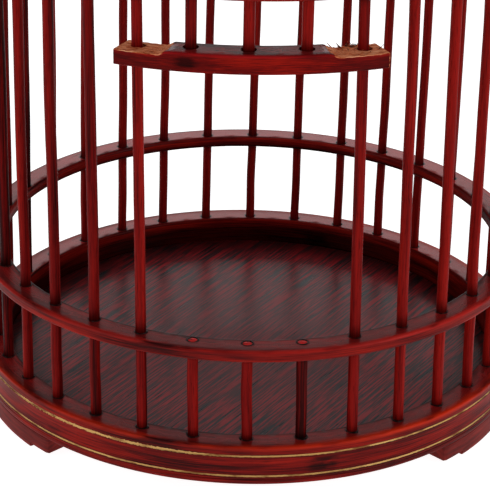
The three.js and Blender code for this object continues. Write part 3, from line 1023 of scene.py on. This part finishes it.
# The wall's bars, fuller at the front than at the back. The two that guide the door run straight.
def makeBars():
    for place in map(int, wallPlaces):
        isGuide = abs(place) == cage["doorReach"] + 1
        isFar = abs(place) > cage["farPlaces"]
        tone = barFinish["tones"].get(place, barFinish["backTone"] if isFar else None)
        fullness = barShape["backFullness"] if isFar else barShape["fullness"]
        sheet = rodSheet(ribLine(shortLow[2]), place * placeAngle, 100 + place,
                         stray=0.0 if isGuide else 1.0, tone=tone, fullness=fullness)
        makeCane("bar_back" if place == cage["places"] // 2 else nameAt("bar", place, 2), sheet)
    for angle, side in zip(ribAngles, ("left", "right")):
        sheet = rodSheet(ribLine(shoulderLow[2]), angle, 200 + (angle > 0), tone=barFinish["ribTone"])
        makeCane("dome_rib_" + side, sheet)
    for place in map(int, doorPlaces):
        makeShortBar(place)
        makeDoorBar(place)


shortTip = {"steps": 26, "tipSteps": 6, "below": 0.6 * mm, "start": 0.15, "height": 0.65 * mm, "power": 0.5,
            "brightBelow": 0.7 * mm}


# A short bar ends in the waist hoop's top with a rounded, brightly rubbed end.
def makeShortBar(place):
    line, shares = tippedLine(shortLow[2], waistHigh[2], shortTip)
    sheet = rodSheet(line, place * placeAngle, 300 + place, shares, tone=barFinish["shortTones"][place])
    top = sheet["points"][:, 2] > waistHigh[2] - shortTip["brightBelow"]
    sheet["marks"]["end"] = 1.0 * top
    sheet["marks"]["shade"] = np.where(top, 0, sheet["marks"]["shade"])
    makeCane(nameAt("short_bar", place), sheet)


doorTip = {"steps": 40, "tipSteps": 6, "below": 1.6 * mm, "start": 0.2, "height": 1.5 * mm, "power": 0.6,
           "shade": 0.75, "shadeRun": (0.4 * mm, 3 * mm)}


# A door bar stands in the rail and ends in a rounded tip. It is dark just above the rail.
def makeDoorBar(place):
    line, shares = tippedLine(doorBarLow[2], doorBarHigh[2], doorTip)
    sheet = rodSheet(line, place * placeAngle, 400 + place, shares, 0.0, barFinish["doorTones"][place])
    over = sheet["points"][:, 2] - railHigh[2]
    sheet["marks"]["shade"] = doorTip["shade"] * (1 - ease(over, *doorTip["shadeRun"]))
    makeCane(nameAt("door_bar", place), sheet, "door")


makeBars()
print("bars made")


pool = {"around": 22, "sectionSteps": 9, "wide": 1.5 * mm, "tall": 0.6 * mm, "inner": 0.3 * mm,
        "under": -0.3, "swell": (0.75, 0.60), "toFront": (0.75, 0.25)}


# A low uneven ring of near-black lacquer round each bar's foot, partly pooled lacquer and partly a
# painted shadow where the bar enters the hoop: a half-oval section, (rho, z), that swells with a
# wobble in phi, and is larger at the front than at the back.
def poolRings(name, angles, height, size=1.0):
    own = np.random.default_rng(len(name))
    phi = np.linspace(0, 2 * math.pi, pool["around"] + 1)
    turn = np.linspace(0, 2 * math.pi, pool["sectionSteps"])
    sheets = []
    for angle in angles:
        swell = pool["swell"][0] + pool["swell"][1] * wobble(own, phi, 4)
        swell = swell * (pool["toFront"][0] + pool["toFront"][1] * math.cos(angle))
        wide = pool["wide"] * size * swell
        rho = barRadius - pool["inner"] + wide[None] * (1 + np.cos(turn))[:, None] / 2
        rise = pool["tall"] * size * swell[None] * np.maximum(np.sin(turn), pool["under"])[:, None]
        reach, side = barCircle + rho * np.cos(phi), rho * np.sin(phi)
        sheets.append(sheetOf(carried(reach, side, height + rise, angle), True))
    makePiece(name, sheets, poolsAndShade, "cage")


poolRings("base_lacquer_pools", placeNumbers * placeAngle, baseHigh[2])
poolRings("waist_lacquer_pools", [p * placeAngle for p in wallPlaces], waistHigh[2], 0.8)
poolRings("rod_end_lacquer_pools", [p * placeAngle for p in doorPlaces], waistHigh[2], 0.55)
poolRings("shoulder_lacquer_pools", [p * placeAngle for p in wallPlaces] + ribAngles, shoulderHigh[2], 0.8)
print("pools made")


rail = {
    "closed": False, "steps": 30, "bevel": 1.0 * mm,
    "edgeBandDepth": 1.3 * mm, "edgeBandWidth": 3.5 * mm, "deepShade": 9 * mm,
    "inside": 6.5 * mm, "leftTail": 7.3 * mm, "rightTail": 9.9 * mm, "lower": 0.5 * mm,
    "guideSlack": 0.20 * mm, "guideLong": 1.24, "guideShift": 1.15 * mm,
    "socket": 5.5 * mm, "slack": 0.9 * mm,
    "scoopStart": 1.32, "scoopDepth": 2.2 * mm, "scoopLength": 4.5 * mm,
    "scoopFront": 0.82,                                     # the share of the scoop at the front
    "ripple": (0.04, 190, 900),                             # share, waves round and waves across
    "ragged": ((0.4 * mm, 1900, 0), (0.3 * mm, 4100, 1)),   # depth, waves across and phase
    "sink": 0.2 * mm, "tilt": 0.6 * mm, "droop": 0.9 * mm, "reach": 67 * mm,
    "endWood": 0.62,
}


# The rail's ends are whittled down by a ragged scoop, and the whole rail sits a little off level:
# z = z0 - scoop * weight^2 + tilt * share - droop * share^2 - sink, where weight is the height in the
# rail from 0 to 1 and share is x over the rail's reach.
def makeRail():
    leftEnd = -guideAngle - rail["leftTail"] / barCircle
    rightEnd = guideAngle + rail["rightTail"] / barCircle
    sockets = np.arange(-cage["doorReach"], cage["doorReach"] + 1) * placeAngle
    angles = np.concatenate([[-guideAngle], sockets, [guideAngle]])
    guides = [(a + rail["guideShift"] / barCircle, holeRadius + rail["guideSlack"], None, rail["guideLong"])
              for a in (-guideAngle, guideAngle)]
    blind = [(a, holeRadius + rail["slack"], rail["socket"], 1.0) for a in sockets]
    spec = dict(rail, top=railHigh[2], bottom=railLow[2] - rail["lower"],
                inner=barCircle - rail["inside"], outer=cage["hoopOuter"],
                borders=np.concatenate([[leftEnd], (angles[:-1] + angles[1:]) / 2, [rightEnd]]),
                holes=[guides[0], *blind, guides[1]])
    block = holedBlock(spec)
    markBlock(block, spec)
    marks = block["marks"]
    x, y, z = block["points"].T
    angle, radius = np.arctan2(x, -y), np.hypot(x, y)
    weight = np.clip((z - spec["bottom"]) / (spec["top"] - spec["bottom"]), 0, 1)
    distance = (np.abs(angle) - rail["scoopStart"] * placeAngle) * barCircle
    ragged = sum(depth * np.sin(radius * waves + phase) for depth, waves, phase in rail["ragged"])
    scoop = rail["scoopDepth"] * ease(distance + ragged, 0, rail["scoopLength"])
    backward = np.clip((spec["outer"] - radius) / (spec["outer"] - spec["inner"]), 0, 1)
    front = rail["scoopFront"]
    ripple, aroundWaves, acrossWaves = rail["ripple"]
    ripples = ripple * np.sin(angle * aroundWaves + radius * acrossWaves)
    scoop = scoop * (front + (1 - front) * backward + ripples)
    share = x / rail["reach"]
    lean = rail["tilt"] * share - rail["droop"] * share ** 2 - rail["sink"]
    block["points"][:, 2] = z - scoop * weight ** 2 + lean
    deep = scoop / rail["scoopDepth"]
    raw = ease(deep, 0.1, 0.45) * ease(weight, 0.90, 0.97)
    fromEnd = (rightEnd - angle) * barCircle
    marks["raw"] = np.maximum(raw, rail["endWood"] * (1 - ease(fromEnd, 0.1 * mm, 0.5 * mm)))
    marks["flat"] = marks["flat"] * (1 - ease(deep, 0, 0.06))
    makePiece("door_rail_lacquered", [block], doorRed, "door", ["door_rail"], sharp=45)


splinterSet = {
    "count": 40, "sides": 5, "steps": 6, "from": 14 * mm, "seat": 0.2 * mm, "sink": 0.3 * mm,
    "atBack": (0.2, 1.8), "across": (0, 12), "length": (1.8, 4.8), "thick": (0.26, 0.52),   # in millimetres
    "lift": (0.15, 0.7), "lean": (-0.5, 0.5), "taper": 0.7, "curl": 0.25,
    "tailShare": 0.7,               # how far along the rail's tail they go
    "cluster": (0.03, 0.02),        # radians left out at both ends of the run where half of them crowd
    "section": (1, 0.6, 0.8),       # the cross section's size along x, y and z
}


# Splinters that stand out of the whittled end: quills along the rail's back edge, each thinning as
# (1 - s) ** taper and rising as s * sin(lift) + curl * s^2.
def makeSplinters():
    own = np.random.default_rng(5)
    sheets = []
    start = guideAngle - splinterSet["from"] / barCircle
    end = guideAngle + splinterSet["tailShare"] * rail["rightTail"] / barCircle
    early, late = start + splinterSet["cluster"][0], guideAngle - splinterSet["cluster"][1]
    inner = barCircle - rail["inside"]
    seat = railHigh[2] - rail["sink"] - rail["scoopDepth"] - splinterSet["seat"]
    s = np.linspace(0, 1, splinterSet["steps"])
    phi = np.linspace(0, 2 * math.pi, splinterSet["sides"] + 1)
    ring = np.stack([np.cos(phi), np.sin(phi), np.sin(phi + 0.4)], -1) * splinterSet["section"]
    for _ in range(splinterSet["count"]):
        angle = own.choice([own.uniform(start, end), own.uniform(early, late)])
        radius = inner + own.uniform(*splinterSet["atBack"]) * mm
        radius += own.choice([0, 0, 0, own.uniform(*splinterSet["across"]) * mm])
        length = own.uniform(*splinterSet["length"]) * mm
        thick = own.uniform(*splinterSet["thick"]) * mm
        lift = own.uniform(*splinterSet["lift"])
        lean = own.uniform(*splinterSet["lean"])
        forward = own.choice([-1, 1]) * length * s * math.cos(lift)
        up = length * (s * math.sin(lift) + splinterSet["curl"] * s ** 2) - splinterSet["sink"]
        line = polar(radius + lean * length * s, angle + forward / radius, seat + up)
        width = thick * (1 - s) ** splinterSet["taper"]
        points = line[:, None] + width[:, None, None] * ring[None]
        tail = np.broadcast_to(line[:1, None], points[:1].shape)
        sheets.append(sheetOf(np.concatenate([tail, points]), True))
    makePiece("door_rail_splinters", sheets, splinters, "door", sharp=80)


makeRail()
makeSplinters()
print("door made")


foot = {"count": 3, "angleSteps": 48, "sideSteps": 6, "cornerSteps": 4, "corner": 0.9 * mm,
        "setback": 0.9 * mm, "width": 14 * mm, "halfAngle": 15.5, "treadHalfAngle": 9.5,
        "toeLift": 2.2 * mm, "toeStep": 0.002, "endSize": 0.94, "endRun": 0.7 * mm, "grainDrift": 0.3}


# A rounded rectangle as a closed loop of (across, up) points, with extra points along its sides.
def roundedLoop(width, height, radius):
    corner, side = foot["cornerSteps"], foot["sideSteps"]
    right, top = width - radius, height - radius
    pieces = []
    for quarter, (cx, cy) in enumerate([(right, radius), (right, top), (radius, top), (radius, radius)]):
        pieces.append(np.array(arcPoints(cx, cy, radius, 90 * quarter - 90, 90 * quarter, corner + 1)))
    loop = []
    for here, there in zip(pieces, pieces[1:] + pieces[:1]):
        loop += [here, np.linspace(here[-1], there[0], side + 1)[1:-1]]
    return np.concatenate([*loop, loop[0][:1]])


# A foot: the loop carried round the cage, its underside lifted in a step near both ends, and the
# ends drawn in a little and closed.
def makeFoot(name, turn):
    low, high = boxOf(name)
    half = math.radians(foot["halfAngle"])
    tread = math.radians(foot["treadHalfAngle"])
    step = tread - foot["toeStep"]
    angles = np.linspace(-half, half, foot["angleSteps"] + 1)
    angles = np.sort(np.concatenate([angles, [-tread, tread, -step, step]]))
    loop = roundedLoop(foot["width"], high[2] - low[2], foot["corner"])
    lift = foot["toeLift"] * ease(np.abs(angles), step, tread)
    share = 1 - loop[:, 1] / loop[:, 1].max()
    height = low[2] + loop[None, :, 1] + lift[:, None] * share[None]
    radius = cage["hoopOuter"] - foot["setback"] - foot["width"] + loop[None, :, 0]
    points = polar(radius, (angles + turn)[:, None], height)
    fromEnd = ease((half - np.abs(angles)) * barCircle, 0, foot["endRun"])
    drawn = foot["endSize"] + (1 - foot["endSize"]) * fromEnd
    middle = points.mean(1, keepdims=True)
    points = middle + (points - middle) * drawn[:, None, None]
    caps = [np.broadcast_to(row.mean(0), points[:1].shape) for row in (points[0], points[-1])]
    points = np.concatenate([caps[0], points, caps[1]])
    grain = points.copy()
    grain[..., 2] += foot["grainDrift"] * np.hypot(points[..., 0], points[..., 1])
    edge = (abs(loop[:, 0] - foot["width"]) < foot["corner"]) & (loop[:, 1] < 2 * foot["corner"])
    sheet = sheetOf(points, True, grain=grain, edge=1.0 * edge)
    makePiece(name + "_block", [sheet], footRed, "cage", [name], sharp=40)


for number in range(foot["count"]):
    makeFoot(f"foot_{number + 1}", math.radians(180 - 360 / foot["count"] * number))
print("feet made")


# A turned piece: profile points carried round the axis, each given edge marked within its reach.
def turnedSheet(profile, columns, edges=()):
    profile = np.array(profile + profile[:1])
    angles = np.linspace(-math.pi, math.pi, columns + 1)
    points = polar(profile[:, :1], angles[None], profile[:, 1:])
    edge = np.zeros(len(profile))
    for radius, height, reach in edges:
        edge = np.maximum(edge, 1 - ease(np.hypot(profile[:, 0] - radius, profile[:, 1] - height), 0, reach))
    return sheetOf(points, edge=np.broadcast_to(edge[:, None], points.shape[:2]))


crown = {
    "columns": 96, "slopeRows": 18, "hole": 2.8 * mm, "inset": 0.1 * mm,
    "round": 1.6 * mm, "wornReach": 2.4 * mm, "topWorn": (14 * mm, 2 * mm),
    "rimStep": ((3.2 * mm, 0), (3.5 * mm, 0.5 * mm), (4.1 * mm, 0.5 * mm)),
    "rim": 6 * mm, "slopeFrom": 4.5 * mm,
    "shoulder": 16 * mm, "topRadius": 13.5 * mm, "topEdge": 1.2 * mm, "swell": 1.3,
    "boss": 12 * mm, "bead": (16 * mm, 1 * mm), "dish": 20 * mm, "platePlump": 2.6 * mm,
    "plateLip": 0.8 * mm, "barGap": 0.3 * mm, "hubGap": 2 * mm,
}


# The cap: a rounded rim with a fine step, then a slope that rises as a power of a sine to a small
# flat top.
def makeCap():
    radius = capHigh[0] - crown["inset"]
    low, high = capLow[2], capHigh[2]
    edge, rim = crown["round"], low + crown["rim"]
    profile = [(crown["hole"], low), (radius - edge, low)]
    profile += arcPoints(radius - edge, low + edge, edge, -90, 0, 6)
    profile += arcPoints(radius - edge, rim - edge, edge, 0, 90, 6)
    profile += [(radius - across, rim - down) for across, down in crown["rimStep"]]
    swell = np.linspace(0, 1, crown["slopeRows"])
    outer, top = radius - crown["slopeFrom"], high - crown["topEdge"]
    slope = rim + (top - rim) * np.sin(swell * math.pi / 2) ** crown["swell"]
    profile += list(zip(outer + (crown["shoulder"] - outer) * swell, slope))
    profile += arcPoints(crown["topRadius"], top, crown["topEdge"], 30, 90, 6)
    profile += [(crown["hole"], high)]
    topWorn, topReach = crown["topWorn"]
    worn = [(radius, rim - edge, crown["wornReach"]), (topWorn, high, topReach)]
    sheet = turnedSheet(profile, crown["columns"], worn)
    makePiece("crown_cap_turned", [sheet], crownRed, "cage", ["crown_cap"])


# The plate under the bars: a beaded underside, a plump rim, and a hub inside the ring of bar ends.
def makePlate():
    radius = capHigh[0] - crown["inset"]
    low, high = plateLow[2], plateHigh[2]
    top = backBarHigh[2] - 2 * barRadius - crown["barGap"]
    hub = backBarLow[1] - crown["hubGap"]
    bead, beadRadius = crown["bead"]
    plump, lip = crown["platePlump"], crown["plateLip"]
    profile = [(crown["hole"], low), (crown["boss"], low)]
    profile += arcPoints(bead, low + 0.2 * mm, beadRadius, 180, 0, 7)
    profile += [(crown["dish"], low)]
    profile += arcPoints(radius - plump, low + plump, plump, -90, 0, 8)
    profile += arcPoints(radius - lip, top - lip, lip, 0, 90, 4)
    profile += [(hub, top), (hub, high), (crown["hole"], high)]
    sheet = turnedSheet(profile, crown["columns"], [(radius, low + 2 * mm, crown["wornReach"])])
    makePiece("crown_plate_turned", [sheet], crownRed, "cage", ["crown_plate"])


hook = {"neck": 6.5 * mm, "stem": 16 * mm, "start": 215, "end": -35, "around": 20, "steps": 200,
        "stemRows": 12, "bowRows": 16, "eyeRows": 72,
        "thinness": 0.985, "tipBall": 1.45, "tipLength": 5 * mm, "tipRun": 0.35, "topGap": 0.2 * mm}


# The hook's line in the XZ plane: up the axis, out in a cubic bow, then round the eye.
def hookLine(wire):
    stemTop = collarHigh[2] + hook["stem"]
    eyeRadius = (hookHigh[2] - hook["topGap"] - wire - stemTop - hook["neck"]) / 2
    eye = stemTop + hook["neck"] + eyeRadius
    start, end = math.radians(hook["start"]), math.radians(hook["end"])
    stemHeight = np.linspace(hookLow[2], stemTop, hook["stemRows"], endpoint=False)
    stem = np.stack([np.zeros_like(stemHeight), stemHeight], -1)
    pull = eyeRadius / 4
    joint = np.array([eyeRadius * math.cos(start), eye + eyeRadius * math.sin(start)])
    pulled = joint + pull * np.array([-math.sin(start), math.cos(start)])
    corners = np.array([[0, stemTop], [0, stemTop + pull], pulled, joint])
    t = np.linspace(0, 1, hook["bowRows"], endpoint=False)[:, None]
    bow = ((1 - t) ** 3 * corners[0] + 3 * t * (1 - t) ** 2 * corners[1]
           + 3 * t ** 2 * (1 - t) * corners[2] + t ** 3 * corners[3])
    turn = np.linspace(start, end, hook["eyeRows"])
    bend = np.stack([eyeRadius * np.cos(turn), eye + eyeRadius * np.sin(turn)], -1)
    return np.concatenate([stem, bow, bend])


# The hook: a round rod along that line at even distances, with a small ball at its tip, where the
# radius grows as 1 - u^2 and then closes as a square root.
def makeHook():
    wire = (hookHigh[1] - hookLow[1]) / 2
    line = hookLine(wire)
    along = np.concatenate([[0], np.cumsum(np.hypot(*np.diff(line, axis=0).T))])
    even = np.linspace(0, along[-1], hook["steps"])
    line = np.stack([np.interp(even, along, line[:, k]) for k in (0, 1)], -1)
    tangent = np.gradient(line, even, axis=0)
    tangent /= np.linalg.norm(tangent, axis=1)[:, None]
    left = even[-1] - even
    tip = hook["tipLength"]
    bulb = 1 - np.clip((left - tip / 2) / (tip / 2), -1, 1) ** 2
    radius = wire * hook["thinness"] * np.where(left < tip, 1 + (hook["tipBall"] - 1) * bulb, 1)
    radius = (radius * np.sqrt(np.clip(left / (hook["tipRun"] * tip), 0, 1)))[:, None]
    phi = np.linspace(0, 2 * math.pi, hook["around"] + 1)
    normal = np.stack([tangent[:, 1], -tangent[:, 0]], -1)
    reach = radius * np.cos(phi)
    x, z = line[:, :1] + reach * normal[:, :1], line[:, 1:] + reach * normal[:, 1:]
    points = np.stack([x, radius * np.sin(phi), z], -1)
    base = np.broadcast_to(points[0].mean(0), points[:1].shape)
    sheet = sheetOf(np.concatenate([base, points]), True)
    makePiece("hook_wire", [sheet], brass, "hook", ["hook"])


fittings = {"hole": 2.6 * mm, "collarInset": 0.2 * mm, "waistDepth": 1.6 * mm, "nutInset": 0.15 * mm,
            "nutBevel": ((0.80, 0), (0.90, 0.2 * mm), (1.0, 0.8 * mm))}


# The collar is turned, with a waist that goes in as a sine between two beads.
def makeCollar():
    low, high = collarLow[2], collarHigh[2]
    wide = collarHigh[0] - fittings["collarInset"]
    profile = [(fittings["hole"], low), (wide - 0.6 * mm, low)]
    profile += arcPoints(wide - 1.0 * mm, low + 1.0 * mm, 1.0 * mm, -80, 80, 8)
    waist = np.linspace(0, 1, 10)
    inward = wide - 1.4 * mm - fittings["waistDepth"] * np.sin(waist * math.pi)
    profile += list(zip(inward, low + 2.2 * mm + 3.4 * mm * waist))
    profile += arcPoints(wide - 1.6 * mm, high - 1.2 * mm, 1.1 * mm, -80, 80, 8)
    profile += [(fittings["hole"], high)]
    makePiece("hook_collar_turned", [turnedSheet(profile, 48)], brass, "hook", ["hook_collar"])


# The nut is a six-sided drum, whose radius is the lesser of a hexagon's and a bevel's circle.
def makeNut():
    low, high = nutLow[2], nutHigh[2]
    angles = np.linspace(0, 2 * math.pi, 121)
    wide = nutHigh[1] - fittings["nutInset"]
    hexagon = wide * math.cos(math.pi / 6) / np.cos((angles % (math.pi / 3)) - math.pi / 6)
    bore = np.full_like(angles, fittings["hole"])
    bevel = [(np.minimum(wide * share, hexagon), inset) for share, inset in fittings["nutBevel"]]
    rows = [(bore, low)] + [(r, low + inset) for r, inset in bevel]
    rows += [(r, high - inset) for r, inset in bevel[::-1]] + [(bore, high), (bore, low)]
    sheet = sheetOf(np.stack([polar(r, angles, height) for r, height in rows]))
    makePiece("hook_nut_bevelled", [sheet], brass, "hook", ["hook_nut"], sharp=25)


makeCap()
makePlate()
makeHook()
makeCollar()
makeNut()
print("crown and hook made")


studio = {
    "sky": 0.20,
    "floorColours": ((0.50, 0.50, 0.50), (0.52, 0.52, 0.52)),
    "floorGlow": 0.94,
    "floorHalf": 12.0,
    "lights": {                 # place, target, size and power
        "left softbox": ((-1.5, -0.9, 0.8), (0, 0, 0.15), (0.9, 1.3), 8.0),
        "right softbox": ((1.5, -0.9, 0.8), (0, 0, 0.15), (0.9, 1.3), 10.0),
        "top softbox": ((0, 0.35, 1.8), (0, 0, 0.15), (1.2, 1.2), 9.0),
        "rear softbox": ((0, 1.5, 0.37), (0, 0, 0.30), (1.6, 0.72), 3.4),
    },
}


# A softbox at a place, turned to its target.
def areaLight(name, place, target, size, power):
    data = bpy.data.lights.new(name, "AREA")
    data.shape = "RECTANGLE"
    data.size, data.size_y = size
    data.energy = power
    light = bpy.data.objects.new(name, data)
    light.location = place
    look = Vector(target) - Vector(place)
    light.rotation_euler = look.to_track_quat("-Z", "Y").to_euler()
    bpy.context.scene.collection.objects.link(light)


# A white table that glows, so that it stays white behind the cage.
def makeTable():
    f = Finish("studio floor")
    cloud = f.noise(f.place(), (0.8, 0.8, 0.8))
    material = f.surface(colour=f.mix(cloud, *studio["floorColours"]), roughness=0.85, gloss=0.2,
                         glow=(1.0, 1.0, 1.0), glowStrength=studio["floorGlow"])
    half = studio["floorHalf"]
    corners = [(-half, -half, 0), (half, -half, 0), (half, half, 0), (-half, half, 0)]
    mesh = bpy.data.meshes.new("studio_floor")
    mesh.from_pydata(corners, [], [(0, 1, 2, 3)])
    mesh.materials.append(material)
    ground = bpy.data.objects.new("studio_floor", mesh)
    bpy.context.scene.collection.objects.link(ground)


# The white sky, the table and the softboxes.
def makeStudio():
    makeTable()
    world = bpy.data.worlds.new("studio")
    world.use_nodes = True
    sky = world.node_tree.nodes["Background"]
    sky.inputs[0].default_value = (1, 1, 1, 1)
    sky.inputs[1].default_value = studio["sky"]
    bpy.context.scene.world = world
    for name, settings in studio["lights"].items():
        areaLight(name, *settings)
    bpy.context.scene.view_settings.view_transform = "Standard"


makeStudio()
print("studio made")
